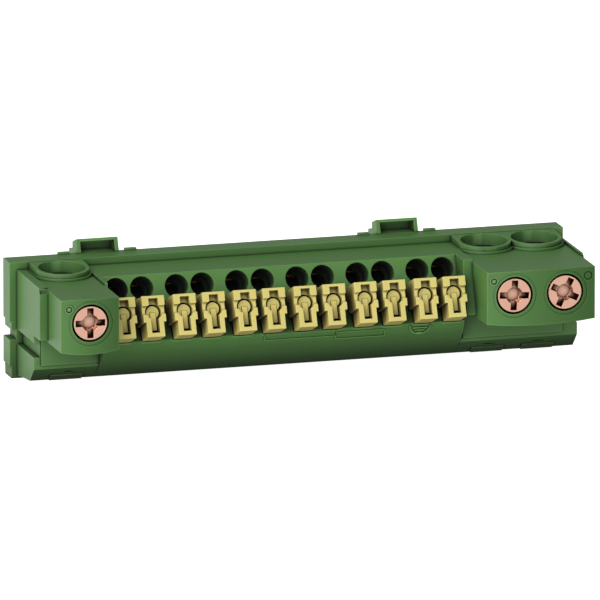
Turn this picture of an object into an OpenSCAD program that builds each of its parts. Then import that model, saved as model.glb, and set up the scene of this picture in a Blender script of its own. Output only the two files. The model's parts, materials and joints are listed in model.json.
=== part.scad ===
// Earth terminal bar: a moulded housing with twelve lever-released push-in ways
// in six pairs, three cage clamps with screws, one busbar and a rear cover
// with two snap clips.
//
// Frame: X along the bar, Y into the board, Z up, origin at the centre of the
// rear cover's back face. Inside the modules a point is given by x from the
// cover's left end, its distance forward of the back face and its drop below
// the cover's top edge.

/* [Rear cover] */
// Depth of the cover from its back face to the housing
cover_t = 4.7; // [4:0.1:6]
// Height of the cover
cover_h = 22.85; // [22.6:0.05:24]
// Wall thickness of the cover
cover_wall = 1.5; // [1:0.1:2]
// Margin of the cover beyond the housing at its left end
margin_left = 1.5; // [1:0.1:2.5]
// Margin of the cover beyond the housing at its right end
margin_right = 0.8; // [0.5:0.1:2.5]
// Ribs across the back of the cover, with one at its middle
cover_ribs = 7; // [3:2:9]
// Thickness of a rib
rib_t = 1.2; // [0.8:0.1:1.6]
// Depth of the notch in each end of the cover
notch_deep = 1.34; // [0.8:0.02:1.5]
// Radius of the pegs that hold the cover to the housing
peg_r = 1.2; // [0.8:0.1:1.4]
// Length of the pegs
peg_l = 3.5; // [2:0.1:4]

/* [Snap clips] */
// Width of a clip
clip_w = 8.3; // [7:0.1:10]
// Height of a clip above the cover
clip_rise = 2.7; // [2.2:0.1:4]
// Reach of a clip behind the back face
clip_reach = 5.2; // [4:0.1:7]
// Wall thickness of a clip
clip_wall = 0.75; // [0.6:0.05:1.2]
// Distance between the two clips
clip_pitch = 60; // [50:1:70]
// Left end of the cover to the first clip's centre
clip_first = 18.7; // [16:0.1:24]

/* [Housing] */
// Drop of the housing's top below the cover's top
top_drop = 1.5; // [1.2:0.1:2]
// Front of the end walls, forward of the back face
body_f = 21.3; // [20.5:0.1:22.5]
// Front of the screw blocks, forward of the back face
block_f = 30.3; // [29.5:0.1:33]
// Drop of the screw blocks' top
block_drop = 1.95; // [1.7:0.05:2.2]
// Drop of the screw blocks' underside at its ends
block_low = 12.2; // [12:0.1:13]
// Extra depth of the curved underside at its middle
block_belly = 0.7; // [0.4:0.1:1]
// Thickness of the left end wall outside the block
end_left = 1.7; // [1.2:0.1:2.5]
// Thickness of the right end wall outside the block
end_right = 0.5; // [0.4:0.1:2.5]
// Depth of the slot in each end of the housing
slot_deep = 1.2; // [0.6:0.1:1.4]
// Front of the lower body under the screw blocks
lower_f = 16.9; // [16.7:0.1:18]
// Drop where the lower front starts to slope back
lower_drop = 18.45; // [17.5:0.1:19]

/* [Screw ways] */
// Distance between neighbouring clamp screws
way_pitch = 10.15; // [10:0.05:11]
// Screw axis to the outer side of its block
way_out = 5.95; // [5.5:0.05:6.5]
// Left block's screw axis to the block's inner side
way_in = 5.6; // [5.2:0.05:6.5]
// Right block's first screw axis to the block's inner side
way_side = 5.5; // [5.2:0.05:6.5]
// Drop of the clamp screws
screw_drop = 6.75; // [6.6:0.05:7]
// Radius of a cable entry
entry_r = 4.6; // [4.2:0.05:4.65]
// Cable entry axis, forward of the back face
entry_f = 9.46; // [9.4:0.01:9.6]
// Wall of the collar round a cable entry
collar_wall = 0.65; // [0.5:0.05:0.9]
// Radius of a screw's head
head_r = 3.3; // [3:0.05:3.4]
// Clearance round a screw's head
head_gap = 0.4; // [0.2:0.02:0.5]
// Depth of the head below the block's front
head_sink = 0.2; // [0.1:0.1:1.2]
// Length of a screw's head
head_l = 2.6; // [2:0.1:2.8]
// Depth of the recess in a screw's head
socket_deep = 1.3; // [1:0.1:1.8]
// Radius of the recess at its flat bottom
socket_r = 1.25; // [1:0.05:1.4]
// Width of the arms of the cross in a screw's head
cross_w = 1.2; // [0.8:0.1:1.4]
// Reach of those arms from the screw's axis
cross_l = 2.9; // [2.4:0.1:3.1]
// Radius of a screw's shank
shank_r = 2.5; // [2:0.05:2.6]

/* [Cage clamps] */
// Width of a cage
cage_w = 9; // [8.6:0.05:9.2]
// Side wall of a cage
cage_wall = 0.8; // [0.6:0.05:1]
// Height of a cage
cage_h = 8.2; // [7.6:0.1:8.4]
// Threaded front wall of a cage
cage_nut = 3; // [2.5:0.1:3.4]
// Clamping rear wall of a cage
cage_foot = 1.2; // [1:0.1:1.6]
// Travel of a cage
cage_travel = 5.6; // [4:0.1:5.7]

/* [Push-in ways] */
// Pairs of push-in ways
pairs = 6; // [2:1:6]
// Distance between pairs
pair_pitch = 12.02; // [12:0.01:14]
// Distance between the two levers of a pair
lever_pitch = 5.77; // [5.5:0.01:6]
// Distance between the two wire holes of a pair
hole_pitch = 5.1; // [5:0.05:5.6]
// Tilt of the wire holes and levers
tilt = 22.5; // [20:0.5:24]
// Radius of a wire hole
hole_r = 2.25; // [2:0.05:2.35]
// Depth of the straight wire hole
hole_l = 4; // [3.5:0.1:4.1]
// Radius of the inner hole for the stripped conductor
core_r = 1.6; // [1.2:0.05:1.65]
// Drop of a wire hole's centre at the face
hole_drop = 4; // [3.9:0.05:4.3]
// Front of the ledge above the wire holes, forward of the back face
ledge_f = 14.86; // [14.5:0.02:15.2]
// Wall between the recess and the left block
cheek_left = 0.55; // [0.4:0.05:1]
// Wall between the recess and the right block
cheek_right = 1.85; // [1.4:0.05:2.5]

/* [Release levers] */
// Width of a lever's body
lever_w = 4.45; // [4.2:0.05:4.75]
// Length of a lever's front face
lever_h = 8; // [7.6:0.05:8.2]
// Reach of a lever in front of the hole face
lever_reach = 6; // [5:0.05:6.4]
// Drop of a lever's top below its wire hole
lever_drop = 0.25; // [0.1:0.05:0.4]
// Width of a lever's lower leg
leg_w = 3.45; // [3.2:0.05:4]
// Length of the lower leg's front face
leg_h = 2.9; // [2.5:0.05:3.2]
// Travel of a lever
lever_travel = 1.8; // [1.2:0.1:1.9]
// Clearance round a lever
lever_gap = 0.15; // [0.1:0.01:0.2]
// Radius of the round tool seat in a lever
seat_r = 1.6; // [1.5:0.02:1.7]
// Depth of the tool seat
seat_deep = 3.2; // [2.6:0.1:3.4]
// Radius of the button in the tool seat
button_r = 1.22; // [1.1:0.02:1.3]
// Depth of the button below the lever's face
button_deep = 1.45; // [1:0.05:1.8]
// Depth of the cross groove in a lever
groove_deep = 0.8; // [0.3:0.05:1]
// Width of the slot in the lower leg
port_w = 1.55; // [1.3:0.05:1.7]

/* [Busbar and springs] */
// Thickness of the busbar
bar_t = 1.6; // [1.2:0.1:1.7]
// Front of the busbar behind the push-in ways
bar_f = 7.8; // [7.6:0.05:7.9]
// Drop of the busbar's top edge
bar_top = 2.9; // [2.8:0.05:3.4]
// Drop of the busbar's bottom edge
bar_low = 14.2; // [13.8:0.05:14.3]
// Thickness of a spring's strip
spring_t = 0.4; // [0.3:0.02:0.45]
// Width of a spring
spring_w = 3.4; // [3:0.05:3.6]
// Radius of a spring's bend at the middle of the strip
spring_r = 0.9; // [0.8:0.02:1]

/* [Hidden] */
$fn = 48;

eps = 0.01;
slack = 0.15;
fit = 0.05;
green = [0.24, 0.5, 0.24];
cream = [0.96, 0.9, 0.52];

// Positions along the bar
housing_x0 = margin_left;
way_1 = housing_x0 + end_left + way_out;
recess_x0 = way_1 + way_in + cheek_left;
recess_l = (pairs - 1) * pair_pitch + lever_pitch + lever_w + 4 * lever_gap;
recess_x1 = recess_x0 + recess_l;
way_2 = recess_x1 + cheek_right + way_side;
way_3 = way_2 + way_pitch;
housing_x1 = way_3 + way_out + end_right;
cover_l = housing_x1 + margin_right;
ways = [way_1, way_2, way_3];
recess_mid = (recess_x0 + recess_x1) / 2;
function pair_x(k) = recess_mid + (k - (pairs - 1) / 2) * pair_pitch;
function side_of(i) = i % 2 == 0 ? -1 : 1;
function lever_x(i) = pair_x(floor(i / 2)) + side_of(i) * lever_pitch / 2;
function hole_x(i) = pair_x(floor(i / 2)) + side_of(i) * hole_pitch / 2;

// Sloping hole face: it leans forward as it drops from the ledge
hole_f = ledge_f + (hole_drop - top_drop) * tan(tilt);
// A point at depth l behind the hole face and q below the hole axis
function local_f(l, q) = hole_f - l * cos(tilt) + q * sin(tilt);
function local_d(l, q) = hole_drop + l * sin(tilt) + q * cos(tilt);

lever_top = hole_r + lever_drop;
lever_low = lever_top + lever_h;
shoulder_low = lever_low - leg_h;
tunnel_wall = 0.45;
stem_top = hole_r + tunnel_wall + lever_gap;
stem_end = 1.2;
groove_q = lever_top + 2.75;
seat_q = lever_top + 3.05;
leg_back = -1.35;
finger_h = 0.65;
finger_w = 3;
finger_end = 4.85;
well_l = 5.4;
well_q = 2.1;
core_l = 4;
cut_front = -lever_reach - 2;

// Cage chamber and busbar channel
chamber_w = cage_w + 2 * slack;
chamber_top = screw_drop - cage_h / 2 - slack;
chamber_low = screw_drop + cage_h / 2 + slack;
head_back = block_f - head_sink - head_l;
chamber_f = head_back - 0.6;
tab_back = entry_f + entry_r + 0.24;
tab_front = tab_back + bar_t;
bar_back = bar_f - bar_t;
strip_top = 12;
channel_low = bar_low + slack;
channel_top = strip_top - slack;
jog_gap = 0.45;
jog_x1 = way_1 + cage_w / 2 + jog_gap + bar_t;
jog_x2 = way_2 - cage_w / 2 - jog_gap - bar_t;

// Cover: notches at the slots, pads behind the bar and pegs below it
slot_top = 13.1;
slot_low = 16.1;
edge_step = 0.34;
bump_w = 2.3;
foot_step = 2.45;
hole_rim = 0.4 * (hole_pitch / 2 - hole_r);
pads = [for (k = [0:pairs - 2]) (pair_x(k) + pair_x(k + 1)) / 2];
pegs = [pair_x(0), pair_x(pairs - 1), way_1, way_3];
peg_drop = (channel_low + cover_h - cover_wall) / 2;

// Spring: a fixed leg on the window's lower edge, a bend and a clamping leg
window_low = 11.4;
window_top = 5.6;
window_w = spring_w + 0.4;
bend_reach = 4.5;
bend_f = bar_f + bend_reach;
bend_d = window_low - spring_t / 2 - spring_r;
spring_rise = 39.5;
blade_l = 6.15;
function bend_point(a, r) = [bend_f + r * sin(a), bend_d + r * cos(a)];

module place() { translate([-cover_l / 2, 0, cover_h / 2]) children(); }

// Extrudes a side view, drawn as [-forward, -drop], from x0 to x1
module across(x0, x1) {
    translate([x0, 0, 0]) rotate([90, 0, 90]) linear_extrude(x1 - x0) children();
}
function side(f, d) = [-f, -d];

// A box between two x, two forward distances and two drops
module block(x0, x1, f0, f1, d0, d1) {
    translate([x0, -f1, -d1]) cube([x1 - x0, f1 - f0, d1 - d0]);
}

// A round bar along Y between two forward distances
module round_y(x, d, r, f0, f1) {
    translate([x, -f0, -d]) rotate([90, 0, 0]) cylinder(r = r, h = f1 - f0);
}

// Local frame of one push-in way: +Y into the hole, +Z up along the face
module way_frame(x) {
    translate([x, -hole_f, -hole_drop]) rotate([-tilt, 0, 0]) children();
}
module way_box(w, l0, l1, q0, q1) {
    translate([-w / 2, l0, -q1]) cube([w, l1 - l0, q1 - q0]);
}

// ---- housing ----

nose_l = -1.45;
nose_f = local_f(nose_l, lever_low);
nose_d = local_d(nose_l, lever_low);
wall_low = 16;
slope_f = lower_f + (lower_drop - wall_low) * 1.22;
sole_f = 14;
sole_d = lower_drop + 2.8;
sole_back = 22.4;
belly_f = 8;
edge_r = 1.2;
overhang = 0.5;

// The sloping underside that all sections share, from the front to the cover
sole = [side(sole_f, sole_d), side(belly_f, (sole_d + sole_back) / 2), side(cover_t, sole_back)];
lower_front = [side(lower_f, block_low - overhang), side(lower_f, lower_drop)];

// Everything behind the front surface of the push-in section
module middle_profile() {
    polygon(concat([side(cover_t, top_drop), side(ledge_f, top_drop),
        side(local_f(0, shoulder_low), local_d(0, shoulder_low)), side(nose_f, nose_d),
        side(slope_f, wall_low)], sole));
}

// The lower part of that section, which runs on under the left block
module foot_profile() {
    polygon(concat([side(cover_t, nose_d), side(nose_f, nose_d), side(slope_f, wall_low)], sole));
}

// The wall between the recess and a screw block, its front along the levers
module cheek_profile() {
    cheek_f = body_f - edge_r;
    bend = 4.2;
    low = block_low - overhang;
    polygon(concat([side(cover_t, top_drop), side(cheek_f, top_drop), side(cheek_f + 0.1, bend),
        side(cheek_f + 0.1 + (low - bend) * tan(tilt), low)], lower_front, sole));
}

// The end walls, with a rounded top front edge
module end_profile() {
    polygon(concat([side(cover_t, top_drop), side(body_f - edge_r, top_drop),
        side(body_f - edge_r, top_drop + edge_r), side(body_f, top_drop + edge_r),
        side(body_f, block_low - overhang)], lower_front, sole));
    translate(side(body_f - edge_r, top_drop + edge_r)) circle(edge_r);
}

// One screw block with its curved underside, over the lower body
module screw_block(x0, x1) {
    half = (x1 - x0) / 2;
    arc_r = (half * half + block_belly * block_belly) / (2 * block_belly);
    across(x0, x1) polygon(concat([side(cover_t, block_drop), side(lower_f, block_drop),
        side(lower_f, lower_drop)], sole));
    translate([(x0 + x1) / 2, 1 - lower_f, 0]) rotate([90, 0, 0])
        linear_extrude(block_f - lower_f + 1) intersection() {
            translate([-half, -block_low - block_belly]) square([2 * half, block_low + block_belly - block_drop]);
            translate([0, arc_r - block_low - block_belly]) circle(arc_r, $fn = 160);
        }
}

// Plan of a collar: round in front, straight sides running back to the cover
module collar_plan(xs, r) {
    for (x = xs) {
        intersection() {
            translate([x, -entry_f]) circle(r);
            translate([x - r, -entry_f - r]) square([2 * r, entry_f + r - cover_t]);
        }
        translate([x - r, -entry_f]) square([2 * r, entry_f - cover_t]);
    }
}

module collar(xs) {
    r = entry_r + collar_wall;
    intersection() {
        translate([0, 0, -block_drop - 0.3]) linear_extrude(3) collar_plan(xs, r);
        across(xs[0] - 2 * r, xs[len(xs) - 1] + 2 * r)
            polygon([side(cover_t, 0.12), side(entry_f + r + 1, 0.78),
                side(entry_f + r + 1, block_drop + 0.2), side(cover_t, block_drop + 0.2)]);
    }
    translate([0, 0, -block_drop - 0.3])
        linear_extrude(0.8) collar_plan(xs, r + 0.45);
}

module housing_shell() {
    across(housing_x0, way_1 - way_out) end_profile();
    screw_block(way_1 - way_out, way_1 + way_in);
    across(way_1 + way_in, recess_x0) cheek_profile();
    across(way_1 + way_in - 0.3, recess_x0) foot_profile();
    across(recess_x0, recess_x1) middle_profile();
    across(recess_x1, way_2 - way_side) cheek_profile();
    screw_block(way_2 - way_side, way_3 + way_out);
    across(way_3 + way_out, housing_x1) end_profile();
    collar([way_1]);
    collar([way_2, way_3]);
    front_plates();
}

// A raised plate low on the front, under the screw blocks
plate_t = 0.3;
plates = [[housing_x0 + 1.4, way_1 + way_in - 0.1], [way_2 - way_side - 0.9, way_3 + 3.4]];
module front_plates() {
    for (p = plates)
        block(p[0], p[1], lower_f - 1, lower_f + plate_t, block_low - 0.4, lower_drop - 0.75);
}

// Thin slits in the slope below the front, over the cover's latches
slit_r = 2.3;
slit_in = 1.5;
slope_turn = atan2(lower_f - sole_f, sole_d - lower_drop);
slits = [way_1 - 0.38, way_2 - 0.85, way_3 - 1];
module latch_slits() {
    half_t = 0.6;
    for (x = slits) translate([x, -(lower_f + sole_f) / 2 - 0.45, -(lower_drop + sole_d) / 2 + 0.45])
        rotate([slope_turn, 0, 0]) translate([0, slit_in, 0])
            rotate_extrude() polygon([[0, -half_t], [0.5, -half_t], [slit_r, 0], [0.5, half_t], [0, half_t]]);
}

// Shallow round marks beside the screws
mark_r = 0.9;
marks = [way_1 - 4.2, way_2 - 4.2, way_3 + 4.55];
module round_marks() {
    for (x = marks) difference() {
        round_y(x, screw_drop - 3.05, mark_r, block_f - 0.2, block_f + 1);
        round_y(x, screw_drop - 3.05, mark_r - 0.3, block_f - 1, block_f - 0.08);
    }
}

module screw_way_cuts() {
    for (x = ways) {
        translate([x, -entry_f, -chamber_top - eps]) cylinder(r = entry_r, h = chamber_top + 1);
        block(x - chamber_w / 2, x + chamber_w / 2, cover_t - 1, tab_front + slack, chamber_top, channel_low);
        block(x - chamber_w / 2, x + chamber_w / 2, tab_front, chamber_f, chamber_top, chamber_low);
        round_y(x, screw_drop, head_r + head_gap, chamber_f - 1, block_f + 1);
        round_y(x, screw_drop, head_r + head_gap + 0.7, block_f - 0.12, block_f + 1);
    }
}

module bar_channel_cuts() {
    for (s = [[way_1 - cage_w / 2, jog_x1], [jog_x2, way_3 + cage_w / 2]])
        block(s[0] - slack, s[1] + slack, cover_t - 1, tab_front + slack, channel_top, channel_low);
    block(jog_x1 - bar_t - slack, jog_x2 + bar_t + slack, cover_t - 1, bar_f, bar_top - slack, channel_low);
}

module push_in_cuts(i) {
    way_frame(hole_x(i)) rotate([-90, 0, 0]) rotate_extrude() polygon([[0, -1],
        [hole_r + 2 * hole_rim, -1], [hole_r + 2 * hole_rim, -hole_rim], [hole_r, hole_rim],
        [hole_r, hole_l], [core_r, hole_l + 0.7], [core_r, hole_l + core_l], [0, hole_l + core_l]]);
    way_frame(lever_x(i)) {
        way_box(lever_w + 2 * lever_gap, cut_front, stem_end + lever_travel + slack,
            stem_top - lever_gap, shoulder_low + lever_gap);
        way_box(leg_w + 2 * lever_gap, cut_front, leg_back + lever_travel + slack,
            shoulder_low, lever_low + lever_gap);
        way_box(finger_w + 2 * lever_gap, stem_end, finger_end - 0.25,
            stem_top - lever_gap, stem_top + finger_h + lever_gap);
    }
    half = window_w / 2 + 0.05;
    across(lever_x(i) - half, lever_x(i) + half) polygon([side(bar_f, window_top - 1.1),
        side(local_f(well_l, -well_q), local_d(well_l, -well_q)),
        side(local_f(well_l, well_q), local_d(well_l, well_q)),
        side(local_f(hole_l + 0.3, stem_top), local_d(hole_l + 0.3, stem_top)), side(bend_f + spring_r + 0.6, bend_d - 0.4),
        side(bend_f + spring_r + 0.6, window_low + 0.15), side(bar_f, window_low + 0.15)]);
}

// A slot along each end, open to the front and to the cover's notch
module end_slots() {
    for (x = [housing_x0, housing_x1])
        block(x - slot_deep, x + slot_deep, cover_t - 1, lower_f + 1, slot_top, slot_low);
}

module housing() {
    color(green) place() difference() {
        housing_shell();
        end_slots();
        for (x = pegs) round_y(x, peg_drop, peg_r + fit, cover_t - 1, cover_t + peg_l + slack);
        screw_way_cuts();
        bar_channel_cuts();
        latch_slits();
        round_marks();
        for (i = [0:2 * pairs - 1]) push_in_cuts(i);
    }
}

// ---- rear cover ----

module clip(x) {
    half = clip_w / 2;
    tongue = -0.52 * clip_reach;
    difference() {
        union() {
            across(x - half, x + half) polygon([side(0, -clip_rise), side(0, clip_rise),
                side(-clip_reach, clip_rise), side(-clip_reach, slack), side(tongue, -slack),
                side(tongue, 1 - clip_rise)]);
            across(x - half, x + half) polygon([side(1, 0.5), side(1, -clip_rise / 10),
                side(0, -clip_rise), side(-1, 0.4 - clip_rise), side(-1, 0.5)]);
        }
        block(x - half + clip_wall, x + half - clip_wall, clip_wall - clip_reach, 2, -clip_rise + 0.5, -0.05);
    }
}

// Notches and steps in the two end edges
module cover_ends() {
    for (x = [0, cover_l]) {
        block(x - notch_deep, x + notch_deep, -1, cover_t + 1, slot_top + 0.2, slot_low - 0.9);
        block(x - edge_step, x + edge_step, -1, cover_t + 1, slot_top - 1.5, slot_top + 0.3);
        block(x - edge_step, x + edge_step, -1, cover_t + 1, cover_h - foot_step, cover_h + 1);
    }
}

// The hollow back, with ribs across it and one along it
module cover_back() {
    end_wall = 2 * cover_wall;
    rib_gap = (cover_l - 2 * end_wall - cover_ribs * rib_t) / (cover_ribs + 1);
    for (k = [0:cover_ribs], d = [cover_wall, (cover_h + rib_t) / 2]) {
        x = end_wall + k * (rib_gap + rib_t);
        block(x, x + rib_gap, -1, cover_t - cover_wall, d, d + (cover_h - rib_t) / 2 - cover_wall);
    }
}

module rear_cover() {
    color(green) place() {
        difference() {
            block(0, cover_l, 0, cover_t, 0, cover_h);
            cover_ends();
            cover_back();
        }
        for (x = pads) block(x - rib_t, x + rib_t, cover_t - 1, bar_back, bar_top + 1, bar_low - 1);
        for (x = pegs) round_y(x, peg_drop, peg_r, cover_t - 1, cover_t + peg_l);
        for (n = [0, 1]) {
            x = clip_first + n * clip_pitch;
            clip(x);
            for (bump_x = [x - clip_w / 2 - 2.6, x + clip_w / 2 + 2.4])
                block(bump_x - bump_w / 2, bump_x + bump_w / 2, 0, 0.8, -0.45, 1);
        }
    }
}

// ---- busbar ----

module busbar() {
    tab_w = cage_w - 2 * cage_wall - 0.4;
    color([0.78, 0.6, 0.28]) place() difference() {
        union() {
            block(jog_x1 - bar_t, jog_x2 + bar_t, bar_back, bar_f, bar_top, bar_low);
            block(jog_x1 - bar_t, jog_x1, bar_back, tab_front, strip_top, bar_low);
            block(jog_x2, jog_x2 + bar_t, bar_back, tab_front, strip_top, bar_low);
            block(way_1 - cage_w / 2, jog_x1, tab_back, tab_front, strip_top, bar_low);
            block(jog_x2, way_3 + cage_w / 2, tab_back, tab_front, strip_top, bar_low);
            for (x = ways)
                block(x - tab_w / 2, x + tab_w / 2, tab_back, tab_front, chamber_top + 0.8, strip_top + 1);
        }
        for (i = [0:2 * pairs - 1])
            block(lever_x(i) - window_w / 2, lever_x(i) + window_w / 2, bar_back - 1, bar_f + 1,
                window_top, window_low);
    }
}

// ---- release levers ----

// A round cut or core from the lever's front face, at the tool seat
module seat_round(r, l0, l1) {
    translate([0, l0, -seat_q]) rotate([-90, 0, 0]) cylinder(r = r, h = l1 - l0);
}

// The tool seat with its button, a cross groove and the slot in the leg
module lever_face() {
    front = -lever_reach;
    port_low = lever_low - 0.8;
    difference() {
        union() {
            seat_round(seat_r, front - 1, front + seat_deep);
            way_box(1.8, front - 1, front + seat_r, lever_top + 0.5, seat_q);
            way_box(lever_w + 1, front - 1, front + groove_deep, groove_q - 0.85, groove_q + 0.85);
            way_box(port_w, front - 1, front + seat_deep, seat_q, port_low);
        }
        seat_round(button_r, front + button_deep, front + seat_deep + 1);
        way_box(port_w - 0.4, front + button_deep - 0.15, front + seat_deep + 1, seat_q, port_low - 0.6);
    }
}

module release_lever(i) {
    front = -lever_reach;
    lip_end = -lever_travel - 0.1;
    color(cream) place() way_frame(lever_x(i)) difference() {
        union() {
            way_box(lever_w, front, lip_end, lever_top, stem_top + 0.5);
            way_box(lever_w, front, stem_end, stem_top, shoulder_low);
            way_box(leg_w, front, leg_back, shoulder_low - 1, lever_low);
            way_box(finger_w, stem_end - 0.5, finger_end, stem_top, stem_top + finger_h);
        }
        lever_face();
    }
}

// ---- clamp springs ----

module clamp_spring(i) {
    ro = spring_r + spring_t / 2;
    ri = spring_r - spring_t / 2;
    turn = 180 - spring_rise;
    arc = [0:turn / 12:turn];
    outer = [for (a = arc) bend_point(a, ro)];
    inner = [for (a = arc) bend_point(turn - a, ri)];
    reach = [-blade_l * cos(spring_rise), -blade_l * sin(spring_rise)];
    hook_f = bar_back - 0.05;
    outline = concat([[hook_f, bend_d + ro]], outer,
        [outer[len(outer) - 1] + reach, inner[0] + reach], inner,
        [[hook_f - spring_t, bend_d + ri], [hook_f - spring_t, window_low + 0.9], [hook_f, window_low + 0.9]]);
    color([0.8, 0.82, 0.84]) place()
        across(lever_x(i) - spring_w / 2, lever_x(i) + spring_w / 2)
            polygon([for (p = outline) side(p[0], p[1])]);
}

// ---- clamp screws ----

module clamp_screw(n) {
    x = ways[n - 1];
    head_f = block_f - head_sink;
    turn = [0, 3, 26][n - 1];
    color([0.85, 0.6, 0.48]) place() difference() {
        union() {
            round_y(x, screw_drop, head_r, head_back, head_f);
            round_y(x, screw_drop, shank_r, tab_front + 0.05, head_back + 0.5);
        }
        translate([x, -head_f, -screw_drop]) rotate([90, turn, 0]) {
            translate([0, 0, -socket_deep])
                cylinder(r1 = socket_r, r2 = 1.6 * socket_r, h = 2 * socket_deep);
            for (a = [0, 90]) rotate([0, 0, a])
                translate([-cross_l, -cross_w / 2, 0.3 - socket_deep])
                    cube([2 * cross_l, cross_w, 2 * socket_deep]);
        }
    }
}

// ---- cage clamps ----

module cage_clamp(n) {
    x = ways[n - 1];
    back = cover_t + 0.25;
    nut_back = tab_front + 0.6;
    front = nut_back + cage_nut;
    inner = cage_w / 2 - cage_wall;
    color([0.72, 0.74, 0.78]) place() difference() {
        block(x - cage_w / 2, x + cage_w / 2, back, front, screw_drop - cage_h / 2, screw_drop + cage_h / 2);
        block(x - inner, x + inner, back + cage_foot, nut_back, 0, cover_h);
        round_y(x, screw_drop, shank_r + 0.05, nut_back - 1, front + 1);
    }
}

housing();
rear_cover();
busbar();
for (i = [1:2 * pairs]) {
    release_lever(i - 1);
    clamp_spring(i - 1);
}
for (n = [1:3]) {
    clamp_screw(n);
    cage_clamp(n);
}
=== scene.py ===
import json
import math

import bmesh
import bpy
from mathutils import Matrix, Vector


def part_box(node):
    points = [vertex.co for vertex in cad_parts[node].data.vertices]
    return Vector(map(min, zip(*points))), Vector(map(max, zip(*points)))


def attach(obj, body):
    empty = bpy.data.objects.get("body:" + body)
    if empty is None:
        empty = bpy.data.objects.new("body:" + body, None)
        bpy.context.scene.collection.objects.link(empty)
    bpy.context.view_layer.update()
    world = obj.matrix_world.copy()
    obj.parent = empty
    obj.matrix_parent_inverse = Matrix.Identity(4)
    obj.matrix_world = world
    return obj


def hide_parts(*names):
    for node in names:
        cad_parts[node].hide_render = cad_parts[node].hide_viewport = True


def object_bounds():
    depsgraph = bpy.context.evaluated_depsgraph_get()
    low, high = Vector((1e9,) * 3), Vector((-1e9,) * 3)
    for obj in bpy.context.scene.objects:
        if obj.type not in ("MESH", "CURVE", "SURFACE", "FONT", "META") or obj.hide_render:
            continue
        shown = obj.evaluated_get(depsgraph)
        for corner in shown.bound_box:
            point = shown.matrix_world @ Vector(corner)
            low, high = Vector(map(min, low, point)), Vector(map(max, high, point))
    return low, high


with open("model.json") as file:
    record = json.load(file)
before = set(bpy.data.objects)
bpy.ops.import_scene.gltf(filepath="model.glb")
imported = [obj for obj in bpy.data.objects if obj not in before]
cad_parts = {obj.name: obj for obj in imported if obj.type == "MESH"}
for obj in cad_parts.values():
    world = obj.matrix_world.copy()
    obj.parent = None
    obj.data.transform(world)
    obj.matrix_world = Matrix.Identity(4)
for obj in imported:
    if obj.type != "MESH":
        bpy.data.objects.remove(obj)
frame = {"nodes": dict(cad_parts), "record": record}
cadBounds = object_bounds()
nodes = frame["nodes"]
bodyOf = {node: body for body, names in frame["record"]["behaviour"]["bodies"].items() for node in names}
slotOf = {part["node"]: part["material_slot"] for part in frame["record"]["subparts"]}
mm = 0.001
print("frame loaded:", len(nodes), "nodes")


class Value:
    # One socket of a finish, so that shader maths reads as plain expressions
    def __init__(self, finish, socket):
        self.finish = finish
        self.socket = socket

    def maths(self, operation, first, second=None, clamp=False):
        return self.finish.add("ShaderNodeMath", {"operation": operation, "use_clamp": clamp}, {0: first, 1: second})

    def __add__(self, other):
        return self.maths("ADD", self, other)

    def __radd__(self, other):
        return self.maths("ADD", other, self)

    def __sub__(self, other):
        return self.maths("SUBTRACT", self, other)

    def __rsub__(self, other):
        return self.maths("SUBTRACT", other, self)

    def __mul__(self, other):
        return self.maths("MULTIPLY", self, other)

    def __rmul__(self, other):
        return self.maths("MULTIPLY", other, self)

    def above(self, level):
        return self.maths("GREATER_THAN", self, level)


class Finish:
    # A material and the one method that makes its nodes
    def __init__(self, name):
        self.material = bpy.data.materials.new(name)
        self.material.use_nodes = True
        self.tree = self.material.node_tree
        self.tree.nodes.clear()
        self.output = self.tree.nodes.new("ShaderNodeOutputMaterial")

    def add(self, kind, settings=None, inputs=None, output=0):
        node = self.tree.nodes.new(kind)
        for name, value in (settings or {}).items():
            if name == "stops":
                ramp = node.color_ramp
                while len(ramp.elements) < len(value):
                    ramp.elements.new(0.5)
                for element, (position, colour) in zip(ramp.elements, value):
                    element.position = position
                    element.color = (*colour, 1)
            else:
                setattr(node, name, value)
        for key, value in (inputs or {}).items():
            if value is None:
                continue
            if isinstance(value, Value):
                self.tree.links.new(value.socket, node.inputs[key])
            else:
                node.inputs[key].default_value = value
        return Value(self, node.outputs[output])

    def place(self, scale=1.0, centre=(0, 0, 0), turn=(0, 0, 0)):
        here = self.add("ShaderNodeTexCoord", output="Object")
        moved = self.add("ShaderNodeVectorMath", {"operation": "SUBTRACT"}, {0: here, 1: centre})
        return self.add("ShaderNodeMapping", {"vector_type": "POINT"}, {"Vector": moved, "Rotation": turn, "Scale": (scale, scale, scale)})

    def noise(self, scale, detail=2.0, roughness=0.5, where=None):
        return self.add("ShaderNodeTexNoise", {"noise_dimensions": "3D"},
                        {"Vector": where or self.place(), "Scale": scale, "Detail": detail, "Roughness": roughness})

    def mix(self, factor, first, second):
        return self.add("ShaderNodeMix", {"data_type": "RGBA"}, {0: factor, 6: first, 7: second}, output=2)

    def bump(self, height, strength, distance, under=None):
        return self.add("ShaderNodeBump", {}, {"Height": height, "Strength": strength, "Distance": distance, "Normal": under})

    # ambient occlusion through a ramp: the mask for painted shade in hollows and creases and, with inside set, for
    # painted highlight on convex edges
    def openness(self, reach, stops, inside=False):
        seen = self.add("ShaderNodeAmbientOcclusion", {"samples": 12, "inside": inside}, {"Distance": reach}, output="AO")
        levels = [(position, (level, level, level)) for position, level in stops]
        return self.add("ShaderNodeValToRGB", {"stops": levels}, {0: seen})

    def axis(self, name, vector=None):
        where = vector or self.add("ShaderNodeTexCoord", output="Object")
        return self.add("ShaderNodeSeparateXYZ", {}, {0: where}, output=name)

    def surface(self, **inputs):
        shader = self.add("ShaderNodeBsdfPrincipled", {}, {name.replace("_", " "): value for name, value in inputs.items()})
        self.tree.links.new(shader.socket, self.output.inputs["Surface"])
        return self.material


def fromHex(code):
    channels = [int(code[i:i + 2], 16) / 255 for i in (0, 2, 4)]
    return [c / 12.92 if c <= 0.04045 else ((c + 0.055) / 1.055) ** 2.4 for c in channels]


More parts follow.
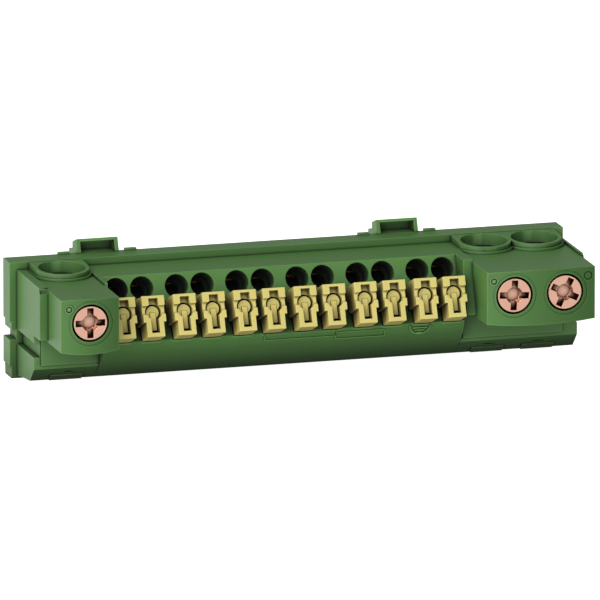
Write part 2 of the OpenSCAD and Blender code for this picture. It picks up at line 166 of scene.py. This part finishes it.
def rgba(code):
    return (*fromHex(code), 1)


# Moulded green plastic: even colour, fine spark-eroded grain, slow drift in gloss, painted shade in its pockets,
# holes and creases and a painted highlight on its convex edges
greenLook = {"light": "64974F", "deep": "5F8F4B", "roughness": 0.38, "drift": 0.08, "grain": 5200, "grainDepth": 0.006 * mm,
             "shade": "030602", "creaseShade": "1E3A14", "edge": "7FB368",
             "pocket": (10 * mm, [(0.12, 0.0), (0.3, 0.28), (0.5, 0.6), (0.86, 1.0)]),
             "crease": (0.5 * mm, [(0.45, 0.0), (0.97, 1.0)]), "rim": (0.3 * mm, [(0.45, 0.0), (0.9, 1.0)])}

# Pale yellow lever plastic: a little softer in gloss than the housing, with the same painted shade in pockets and
# creases and painted highlight on convex edges
leverLook = {"light": "F4E58A", "deep": "E9D675", "roughness": 0.48, "drift": 0.06, "grain": 6500, "grainDepth": 0.004 * mm,
             "shade": "2A2208", "creaseShade": "8A7430", "edge": "FBF3A6",
             "pocket": (4 * mm, [(0.12, 0.0), (0.4, 0.45), (0.7, 1.0)]),
             "crease": (0.6 * mm, [(0.4, 0.0), (0.95, 1.0)]), "rim": (0.25 * mm, [(0.45, 0.0), (0.9, 1.0)])}

entries = [Vector(mount["pos_m"]) for mount in frame["record"]["mounts"] if mount["name"].startswith("cable_entry")]

# Screw blocks: where each front starts left of its first way and ends right of its last, and how it falls off
blocks = [{"from": entries[0].x - 5.95 * mm, "to": entries[0].x + 5.6 * mm},
          {"from": entries[1].x - 5.5 * mm, "to": entries[2].x + 5.95 * mm}]
crown = {"front": -29.6 * mm, "slope": 0.75}


def blockCrown(finish):
    x = finish.axis("X")
    facing = finish.axis("Y", finish.add("ShaderNodeTexCoord", output="Normal")) * -1
    onFront = facing.above(0.9) * (finish.axis("Y") * -1).above(-crown["front"])
    height = 0.0
    for edges in blocks:
        width = edges["to"] - edges["from"]
        along = x - edges["from"]
        inside = along.above(0.0) * (width - along).above(0.0)
        height = height + inside * along * along * (-crown["slope"] / (2 * width))
    return height * onFront


def makeMoulded(name, look, crowned=False):
    finish = Finish(name)
    slow = finish.noise(55, 3)
    fine = finish.noise(look["grain"], 2)
    colour = finish.mix(slow, rgba(look["deep"]), rgba(look["light"]))
    # painted highlight: convex edges found by inside ambient occlusion are lightened towards the edge colour
    colour = finish.mix(finish.openness(*look["rim"], inside=True), rgba(look["edge"]), colour)
    # painted shade: concave creases and corners found by ambient occlusion are darkened towards the crease colour
    colour = finish.mix(finish.openness(*look["crease"]), rgba(look["creaseShade"]), colour)
    # painted shade: pockets, holes, gaps between parts and places under overhangs are darkened by ambient occlusion
    # towards the shade colour
    clear = finish.openness(*look["pocket"])
    colour = finish.mix(clear, rgba(look["shade"]), colour)
    normal = finish.bump(blockCrown(finish), 1.0, 1.0) if crowned else None
    grain = finish.bump(fine, 0.35, look["grainDepth"], under=normal)
    gloss = look["roughness"] - look["drift"] / 2 + slow * look["drift"] + (1 - clear) * 0.5
    return finish.surface(Base_Color=colour, Roughness=gloss, Normal=grain, IOR=1.48)


# Metals: plated screws with turned rings and painted shade in their recesses, brass strip, bright spring strip, zinc
# cage
screwLook = {"bright": "FFD2B8", "dull": "F2B199", "roughness": 0.26, "ringPitch": 0.16 * mm, "ringDepth": 0.004 * mm,
             "shade": "2E0E05", "crease": (1.5 * mm, [(0.5, 0.0), (0.94, 1.0)])}
strips = {
    "bar_brass": {"name": "brassStrip", "bright": "E3B765", "dull": "B98A3E", "roughness": 0.32, "streak": (40, 900, 900)},
    "spring_steel": {"name": "springStrip", "bright": "D9DBDE", "dull": "A9ADB3", "roughness": 0.24, "streak": (1200, 60, 60)},
    "cage_steel": {"name": "zincCage", "bright": "C9CDD2", "dull": "9A9FA6", "roughness": 0.38, "streak": (700, 700, 90)},
}


def makeStrip(look):
    finish = Finish(look["name"])
    here = finish.add("ShaderNodeTexCoord", output="Object")
    drawn = finish.add("ShaderNodeVectorMath", {"operation": "MULTIPLY"}, {0: here, 1: look["streak"]})
    streaks = finish.noise(1.0, 4, 0.6, where=drawn)
    stain = finish.noise(240, 3)
    colour = finish.mix(stain * 0.5 + streaks * 0.5, rgba(look["dull"]), rgba(look["bright"]))
    return finish.surface(Base_Color=colour, Metallic=1.0, Roughness=look["roughness"] + streaks * 0.12,
                          Normal=finish.bump(streaks, 0.3, 0.004 * mm))


def makeScrewFinish(name, centre):
    finish = Finish(name)
    here = finish.place(centre=centre)
    rings = finish.add("ShaderNodeTexWave", {"wave_type": "RINGS", "rings_direction": "Y", "wave_profile": "SIN"},
                       {"Vector": here, "Scale": 0.314 / screwLook["ringPitch"], "Distortion": 0.4, "Detail": 1.0})
    stain = finish.noise(700, 3)
    colour = finish.mix(stain, rgba(screwLook["dull"]), rgba(screwLook["bright"]))
    # painted shade: the cross recess and crevices of the head are darkened by ambient occlusion towards the shade
    # colour
    colour = finish.mix(finish.openness(*screwLook["crease"]), rgba(screwLook["shade"]), colour)
    return finish.surface(Base_Color=colour, Metallic=1.0, Roughness=screwLook["roughness"] + stain * 0.1,
                          Normal=finish.bump(rings, 0.25, screwLook["ringDepth"]))


materials = {"green_plastic": makeMoulded("mouldedGreen", greenLook, crowned=True), "cream_plastic": makeMoulded("leverYellow", leverLook)}
for slotName, look in strips.items():
    materials[slotName] = makeStrip(look)
print("finishes made:", len(materials))


# Edge rounding of each kind of piece, in millimetres
softening = {
    "green_plastic": {"radius": 0.12, "segments": 2, "shortest": 0.35},
    "cream_plastic": {"radius": 0.05, "segments": 1, "shortest": 0.2},
    "bar_brass": {"radius": 0.08, "segments": 1, "shortest": 0.4},
    "spring_steel": {"radius": 0.05, "segments": 1, "shortest": 0.35},
    "screw_steel": {"radius": 0.04, "segments": 1, "shortest": 0.2},
    "cage_steel": {"radius": 0.12, "segments": 2, "shortest": 0.4},
}


def openMesh(nodeName):
    bm = bmesh.new()
    bm.from_mesh(nodes[nodeName].data)
    bmesh.ops.remove_doubles(bm, verts=bm.verts, dist=0.002 * mm)
    bmesh.ops.dissolve_limit(bm, angle_limit=math.radians(0.6), use_dissolve_boundaries=False, verts=bm.verts, edges=bm.edges)
    return bm


def softEdges(bm, soft):
    crisp = [edge for edge in bm.edges if len(edge.link_faces) == 2 and edge.calc_face_angle() > math.radians(28)
             and edge.calc_length() > soft["shortest"] * mm]
    bmesh.ops.bevel(bm, geom=crisp, offset=soft["radius"] * mm, offset_type="OFFSET", affect="EDGES",
                    segments=soft["segments"], profile=0.5, material=-1, clamp_overlap=True)


def finishPiece(bm, name, body, material, slotName, *standsFor):
    mesh = bpy.data.meshes.new(name)
    bm.to_mesh(mesh)
    bm.free()
    mesh.polygons.foreach_set("use_smooth", [True] * len(mesh.polygons))
    mesh.set_sharp_from_angle(angle=math.radians(35))
    mesh.materials.append(material)
    piece = bpy.data.objects.new(name, mesh)
    bpy.context.scene.collection.objects.link(piece)
    flatten = piece.modifiers.new("flatFaces", "WEIGHTED_NORMAL")
    flatten.weight = 100
    flatten.keep_sharp = True
    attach(piece, body)
    if standsFor:
        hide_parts(*standsFor)
    return piece


for nodeName in nodes:
    slotName = slotOf[nodeName]
    if slotName == "screw_steel":
        low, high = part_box(nodeName)
        materials[nodeName] = makeScrewFinish(nodeName + "_plating", tuple((low + high) / 2))
    material = materials.get(nodeName) or materials[slotName]
    bm = openMesh(nodeName)
    before = len(bm.faces)
    softEdges(bm, softening[slotName])
    print(nodeName, before, "->", len(bm.faces), "faces")
    finishPiece(bm, nodeName + "_soft", bodyOf[nodeName], material, slotName, nodeName)
print("pieces softened")


# Places on the bar: millimetres from its left end, forward of its back and below its top edge
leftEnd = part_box("rear_cover")[0].x
coverTop = entries[0].z + 1.7 * mm


def spot(across, forward, drop):
    return Vector((leftEnd + across * mm, -forward * mm, coverTop - drop * mm))


class Face:
    # A flat face that runs the length of the bar, from its lower line to its upper one
    def __init__(self, low, high):
        self.foot = spot(0, *low)
        self.up = (spot(0, *high) - self.foot).normalized()
        self.out = Vector((1, 0, 0)).cross(self.up)

    def at(self, across, up, out):
        return self.foot + Vector((across * mm, 0, 0)) + self.up * up * mm + self.out * out * mm


def raisePlate(bm, face, outline, height, sunk=0.1):
    base = bm.faces.new([bm.verts.new(face.at(across, up, -sunk)) for across, up in outline])
    grown = bmesh.ops.extrude_face_region(bm, geom=[base])["geom"]
    bmesh.ops.translate(bm, vec=face.out * (height + sunk) * mm, verts=[v for v in grown if isinstance(v, bmesh.types.BMVert)])
    bmesh.ops.recalc_face_normals(bm, faces=bm.faces)


def raiseBar(bm, face, start, end, width, height):
    (x0, y0), (x1, y1) = start, end
    length = math.hypot(x1 - x0, y1 - y0)
    dx, dy = (y0 - y1) / length * width / 2, (x1 - x0) / length * width / 2
    raisePlate(bm, face, [(x0 - dx, y0 - dy), (x1 - dx, y1 - dy), (x1 + dx, y1 + dy), (x0 + dx, y0 + dy)], height)


def raiseArc(bm, face, centre, radius, width, first, last, steps, height):
    angles = [math.radians(first + (last - first) * k / steps) for k in range(steps + 1)]
    ring = [(centre[0] + r * math.cos(a), centre[1] + r * math.sin(a))
            for r, turn in ((radius + width / 2, 1), (radius - width / 2, -1)) for a in angles[::turn]]
    raisePlate(bm, face, ring, height)


slopeFace = Face((19.89, 16.0), (21.26, 13.15))
soleFace = Face((14.0, 21.25), (19.89, 16.0))
blockFace = Face((30.3, 12.2), (30.3, 1.95))

# Earth symbol on the slope below the last levers: an arc and three bars
earth = {"centre": (77.35, 2.75), "radius": 2.05, "line": 0.28, "height": 0.16,
         "bars": [(2.15, 1.5), (1.55, 0.95), (1.0, 0.55)]}
bm = bmesh.new()
raiseArc(bm, slopeFace, earth["centre"], earth["radius"], earth["line"], 180, 360, 24, earth["height"])
for up, half in earth["bars"]:
    raiseBar(bm, slopeFace, (earth["centre"][0] - half, up), (earth["centre"][0] + half, up), earth["line"], earth["height"])
finishPiece(bm, "earth_symbol", "bar", materials["green_plastic"], "green_plastic")

# Plain frames of the marking fields beside it
fields = {"line": 0.16, "height": 0.1, "corners": [((46.3, 1.45), (60.6, 2.9)), ((60.6, 0.7), (70.4, 2.3))]}
bm = bmesh.new()
for (x0, y0), (x1, y1) in fields["corners"]:
    for start, end in (((x0, y0), (x1, y0)), ((x1, y0), (x1, y1)), ((x1, y1), (x0, y1)), ((x0, y1), (x0, y0))):
        raiseBar(bm, slopeFace, start, end, fields["line"], fields["height"])
finishPiece(bm, "marking_frames", "bar", materials["green_plastic"], "green_plastic")

# Tabs along the lower edge, under the screw blocks
tabs = {"ends": [(5.2, 11.6), (89.4, 95.8), (99.5, 105.9)], "rise": 1.85, "height": 0.22}
bm = bmesh.new()
for x0, x1 in tabs["ends"]:
    raisePlate(bm, soleFace, [(x0, 0.1), (x1, 0.1), (x1, tabs["rise"]), (x0, tabs["rise"])], tabs["height"])
finishPiece(bm, "lower_tabs", "bar", materials["green_plastic"], "green_plastic")

# Round ejector marks on the block fronts: a raised ring and a low button
rounds = {"centres": [(4.85, 8.4), (89.4, 8.5)], "radius": 0.78, "line": 0.22, "height": 0.1, "button": 0.35}
bm = bmesh.new()
for centre in rounds["centres"]:
    raiseArc(bm, blockFace, centre, rounds["radius"], rounds["line"], 0, 180, 16, rounds["height"])
    raiseArc(bm, blockFace, centre, rounds["radius"], rounds["line"], 180, 360, 16, rounds["height"])
    turn = [(centre[0] + rounds["button"] * math.cos(a * math.pi / 8), centre[1] + rounds["button"] * math.sin(a * math.pi / 8))
            for a in range(16)]
    raisePlate(bm, blockFace, turn, rounds["height"] / 2)
finishPiece(bm, "round_marks", "bar", materials["green_plastic"], "green_plastic")

# Plates of the green plastic that close the clips behind their windows; they read dark from the real shade behind the
# windows and the painted pocket shade of the green finish
backs = {"half": 3.45, "from": -2.65, "to": -2.3, "top": -1.85, "low": 0.3}
bm = bmesh.new()
for mount in frame["record"]["mounts"]:
    if mount["name"].startswith("snap_clip"):
        middle = mount["pos_m"][0] - leftEnd
        low = spot(0, backs["to"], backs["low"]) + Vector((middle - backs["half"] * mm, 0, 0))
        high = spot(0, backs["from"], backs["top"]) + Vector((middle + backs["half"] * mm, 0, 0))
        size = high - low
        bmesh.ops.create_cube(bm, size=1.0, matrix=Matrix.Translation((low + high) / 2) @ Matrix.Diagonal((*size, 1)))
finishPiece(bm, "clip_backs", "bar", materials["green_plastic"], "green_plastic")
print("marks raised")


# Pale floor, soft studio light
lowest = cadBounds[0][2]
floorLook = {"half": 3.0, "colour": "FFFFFF", "glow": 1.0}
bm = bmesh.new()
bmesh.ops.create_grid(bm, x_segments=1, y_segments=1, size=floorLook["half"],
                      matrix=Matrix.Translation((0, 0, lowest)))
floorMesh = bpy.data.meshes.new("floor")
bm.to_mesh(floorMesh)
bm.free()
floorFinish = Finish("paleFloor")
floorMesh.materials.append(floorFinish.surface(Base_Color=rgba(floorLook["colour"]), Roughness=0.9,
                                               Emission_Color=rgba(floorLook["colour"]), Emission_Strength=floorLook["glow"]))
floor = bpy.data.objects.new("floor", floorMesh)
bpy.context.scene.collection.objects.link(floor)
floor.visible_diffuse = False
floor.visible_glossy = False


def softLight(name, place, aim, size, power):
    data = bpy.data.lights.new(name, "AREA")
    data.shape = "SQUARE"
    data.size = size
    data.energy = power
    lamp = bpy.data.objects.new(name, data)
    bpy.context.scene.collection.objects.link(lamp)
    lamp.location = place
    lamp.rotation_euler = (Vector(aim) - Vector(place)).to_track_quat("-Z", "Y").to_euler()
    return lamp


lamps = {
    "leftKey": {"place": (-0.85, -1.0, 0.76), "size": 1.6, "power": 18.5},
}
for lampName, lamp in lamps.items():
    softLight(lampName, lamp["place"], (0, -0.015, 0), lamp["size"], lamp["power"])

# A pale belt below the horizon, dim above and straight below, and fading to the right
beltStops = [(0.0, 0.14), (0.18, 0.18), (0.3, 0.9), (0.53, 0.9), (0.58, 0.22)]
sideStops = [(0.68, 1.0), (0.9, 0.3)]
world = bpy.data.worlds.new("studio")
world.use_nodes = True
skyTree = world.node_tree


def skyRamp(axis, stops):
    half = skyTree.nodes.new("ShaderNodeMapRange")
    half.inputs["From Min"].default_value = -1
    ramp = skyTree.nodes.new("ShaderNodeValToRGB")
    while len(ramp.color_ramp.elements) < len(stops):
        ramp.color_ramp.elements.new(0.5)
    for element, (position, level) in zip(ramp.color_ramp.elements, stops):
        element.position = position
        element.color = (level, level, level, 1)
    skyTree.links.new(split.outputs[axis], half.inputs["Value"])
    skyTree.links.new(half.outputs[0], ramp.inputs[0])
    return ramp.outputs[0]


here = skyTree.nodes.new("ShaderNodeTexCoord")
split = skyTree.nodes.new("ShaderNodeSeparateXYZ")
product = skyTree.nodes.new("ShaderNodeVectorMath")
product.operation = "MULTIPLY"
skyTree.links.new(here.outputs["Generated"], split.inputs[0])
skyTree.links.new(skyRamp("Z", beltStops), product.inputs[0])
skyTree.links.new(skyRamp("X", sideStops), product.inputs[1])
skyTree.links.new(product.outputs[0], skyTree.nodes["Background"].inputs["Color"])
bpy.context.scene.world = world
bpy.context.scene.view_settings.view_transform = "Standard"

# A long lens well to the left of the bar's front and a little above it
cameraSet = {"azimuth": 16.0, "elevation": 13.19, "distance": 3.5466, "lens": 1106.7,
             "aim": (-0.485 * mm, -15.0 * mm, 0.945 * mm), "up": 1.867 * mm, "right": 0.0615 * mm}
azimuth, elevation = (math.radians(cameraSet[key]) for key in ("azimuth", "elevation"))
towards = Vector((-math.sin(azimuth) * math.cos(elevation), -math.cos(azimuth) * math.cos(elevation), math.sin(elevation)))
rightward = Vector((math.cos(azimuth), -math.sin(azimuth), 0))
upward = towards.cross(rightward)
aim = Vector(cameraSet["aim"]) + upward * cameraSet["up"] + rightward * cameraSet["right"]
cameraData = bpy.data.cameras.new("camera")
cameraData.lens = cameraSet["lens"]
cameraData.sensor_width = 36
cameraData.clip_start = 0.1
cameraData.clip_end = 30
camera = bpy.data.objects.new("camera", cameraData)
bpy.context.scene.collection.objects.link(camera)
camera.location = aim + towards * cameraSet["distance"]
camera.rotation_euler = towards.to_track_quat("Z", "Y").to_euler()
bpy.context.scene.camera = camera
print("stage, light and camera set")
